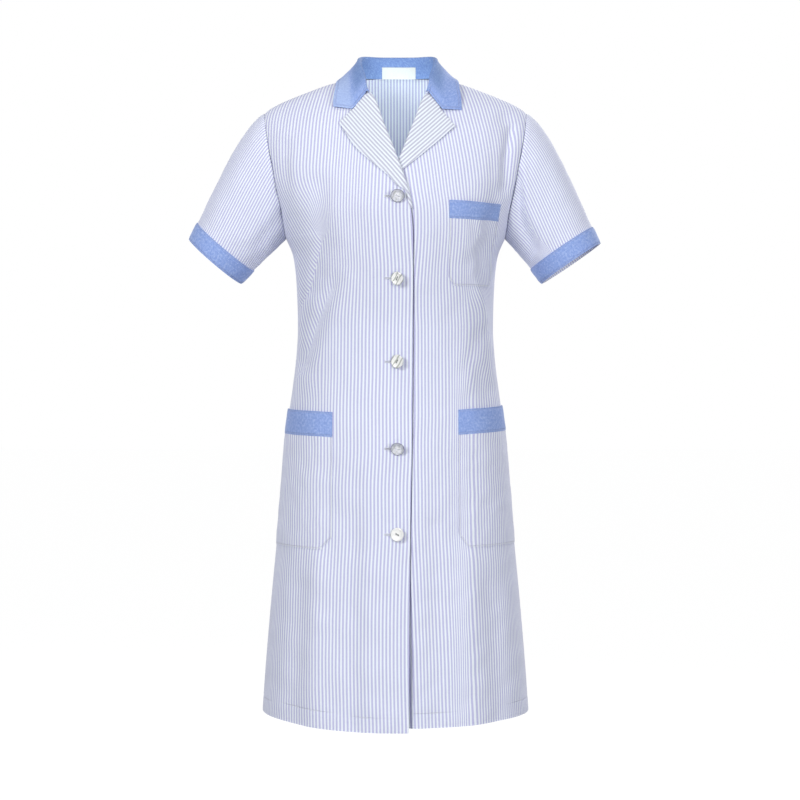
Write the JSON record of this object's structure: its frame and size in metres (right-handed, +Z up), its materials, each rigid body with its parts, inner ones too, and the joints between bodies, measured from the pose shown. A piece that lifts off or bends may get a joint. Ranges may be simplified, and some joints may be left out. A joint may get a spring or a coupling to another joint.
{
  "type": "work coat on a wearer, hollow",
  "caption": "Knee-length short-sleeved button-through work coat with notched collar, blue trim, a breast pocket and two hip pockets, in its worn hollow shape.",
  "frame": {"origin": "middle of the neck at the height of the shoulders, where the wearer carries the coat", "axes": "+X to the wearer's left, -Y to the front, +Z up"},
  "size_m": [0.6153, 0.299, 0.9919],
  "materials": {
    "stripe": "white cotton blend with narrow periwinkle stripes",
    "plain_blue": "plain blue chambray",
    "pearl": "pearly, slightly translucent",
    "label": "plain white tape"
  },
  "bodies": {
    "root": {"back": "stripe", "breast_pocket": "stripe", "breast_pocket_band": "plain_blue", "button_1": "pearl", "button_2": "pearl", "button_3": "pearl", "button_4": "pearl", "button_5": "pearl", "collar": "plain_blue", "cuff_left": "plain_blue", "cuff_right": "plain_blue", "front_left": "stripe", "front_right": "stripe", "lapel_left": "stripe", "lapel_right": "stripe", "neck_label": "label", "pocket_left": "stripe", "pocket_left_band": "plain_blue", "pocket_right": "stripe", "pocket_right_band": "plain_blue", "sleeve_left": "stripe", "sleeve_right": "stripe"}
  },
  "joints": []
}
